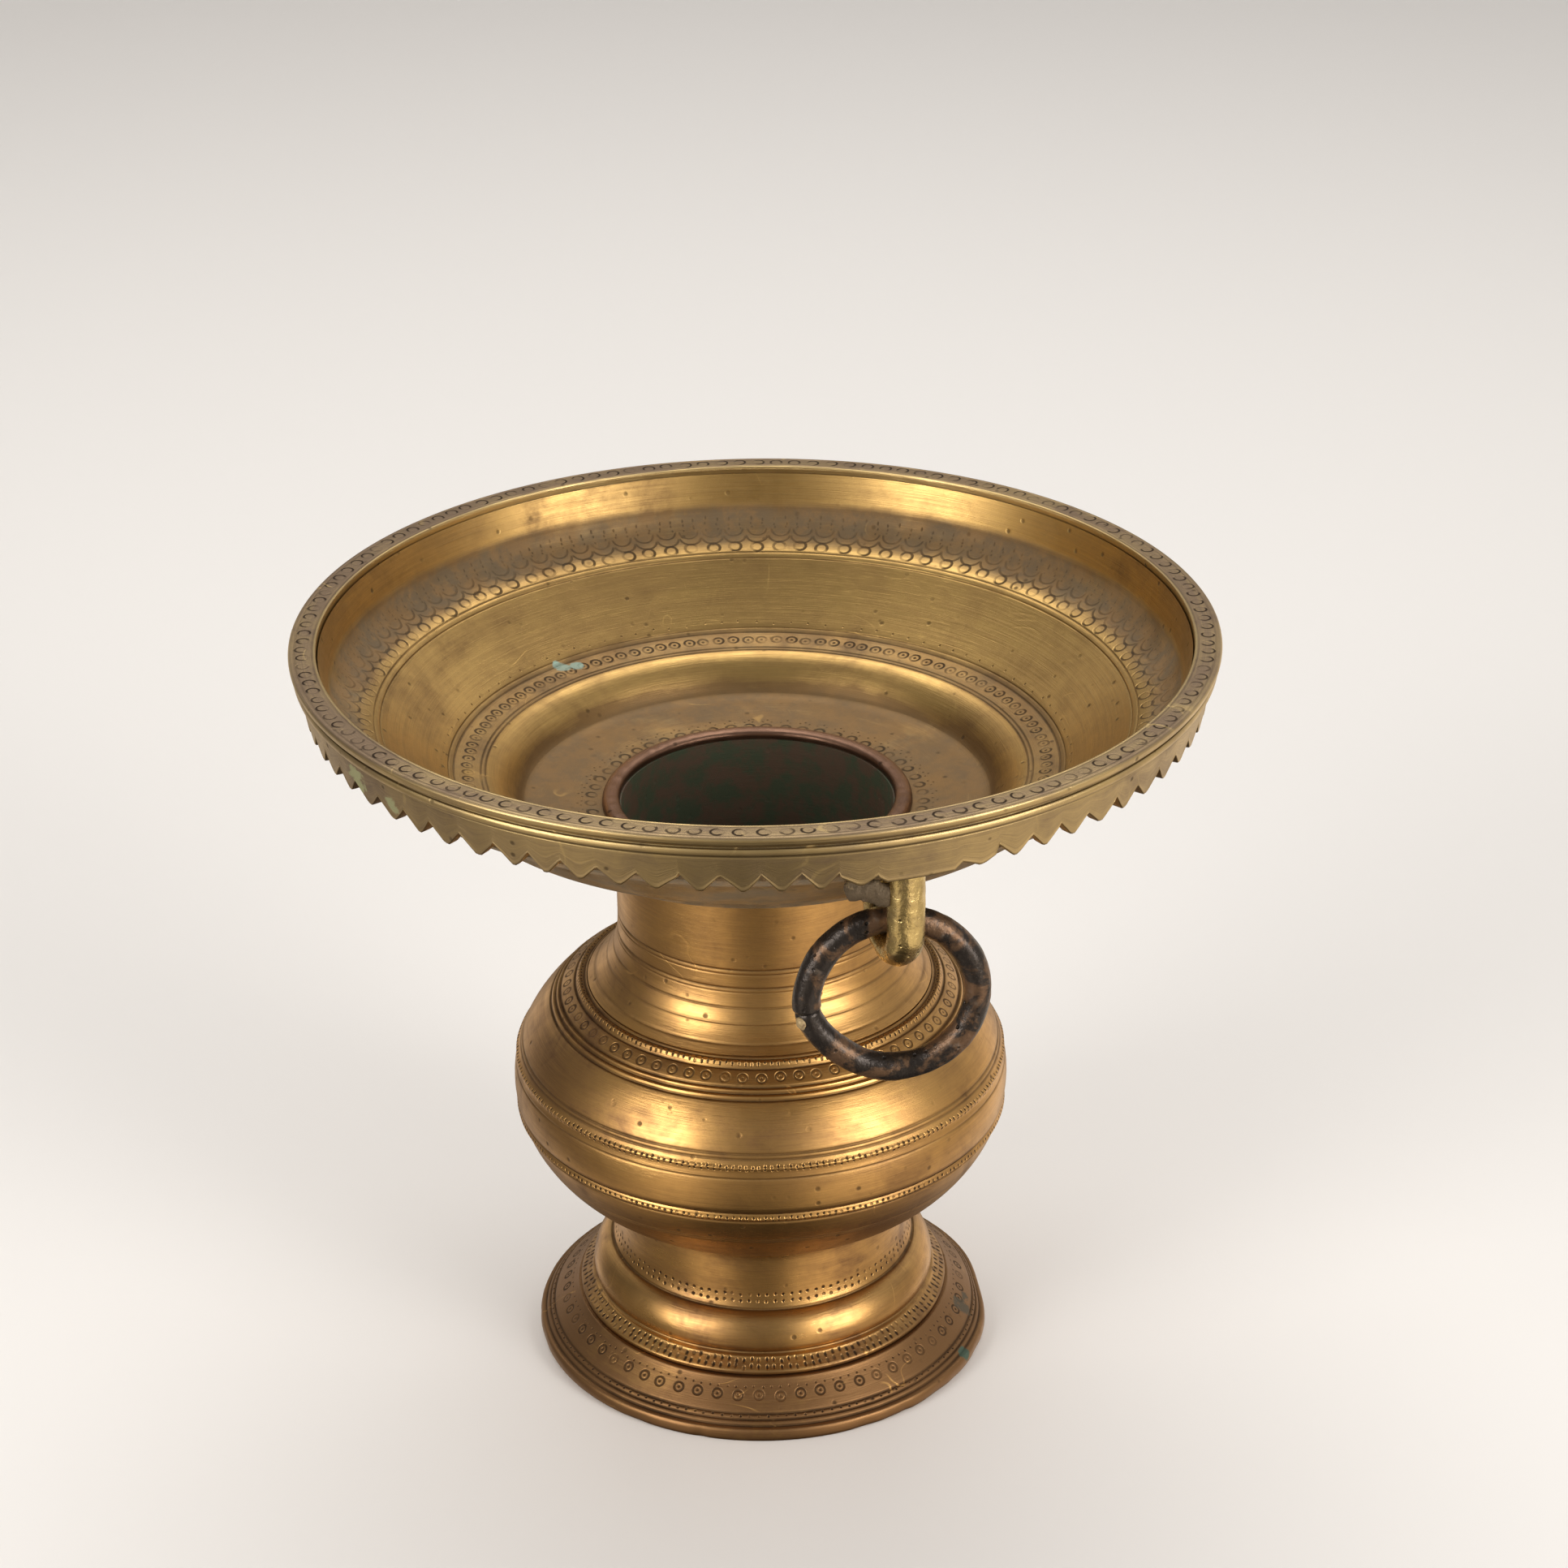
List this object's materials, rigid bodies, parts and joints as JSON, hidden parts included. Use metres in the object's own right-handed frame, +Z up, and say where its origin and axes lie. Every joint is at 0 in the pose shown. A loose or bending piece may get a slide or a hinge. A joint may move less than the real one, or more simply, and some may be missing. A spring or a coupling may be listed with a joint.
{
  "type": "footed brass urli bowl",
  "caption": "Footed brass vessel: a wide dish with a saw-toothed rim on the neck of a round pot, on a turned foot, with a ring handle hanging in a lug.",
  "frame": {"origin": "on the vessel's axis, at the level that the base stands on", "axes": "+Z up along the vessel's axis; the lug and its ring are on the -Y side"},
  "size_m": [0.3, 0.3, 0.2641],
  "materials": {
    "pot_brass": "turned, brushed round, golden brown with dark patina in the grooves",
    "dish_brass": "turned, brushed round, olive gold",
    "rim_brass": "cast, filed and worn, yellow green brass, brown grey on top",
    "lip_copper": "dull reddish copper",
    "lug_brass": "pitted raw casting",
    "ring_bronze": "dark oxidised bronze, worn smooth, with reddish brown patches"
  },
  "bodies": {
    "vessel": {"base_plate": "pot_brass", "foot_stem": "pot_brass", "lower_bowl": "pot_brass", "shoulder_shell": "pot_brass", "neck_tube": "pot_brass", "mouth_ring": "lip_copper", "dish_pan": "dish_brass", "rim_band": "rim_brass", "handle_lug": "lug_brass"},
    "ring": {"handle_ring": "ring_bronze"}
  },
  "joints": [
    {"name": "ring_swing", "type": "hinge", "parent": "vessel", "child": "ring", "pos_m": [0, -0.1258, 0.2209], "axis": [0.9703, -0.2419, 0], "range_deg": [-128, 61]}
  ]
}
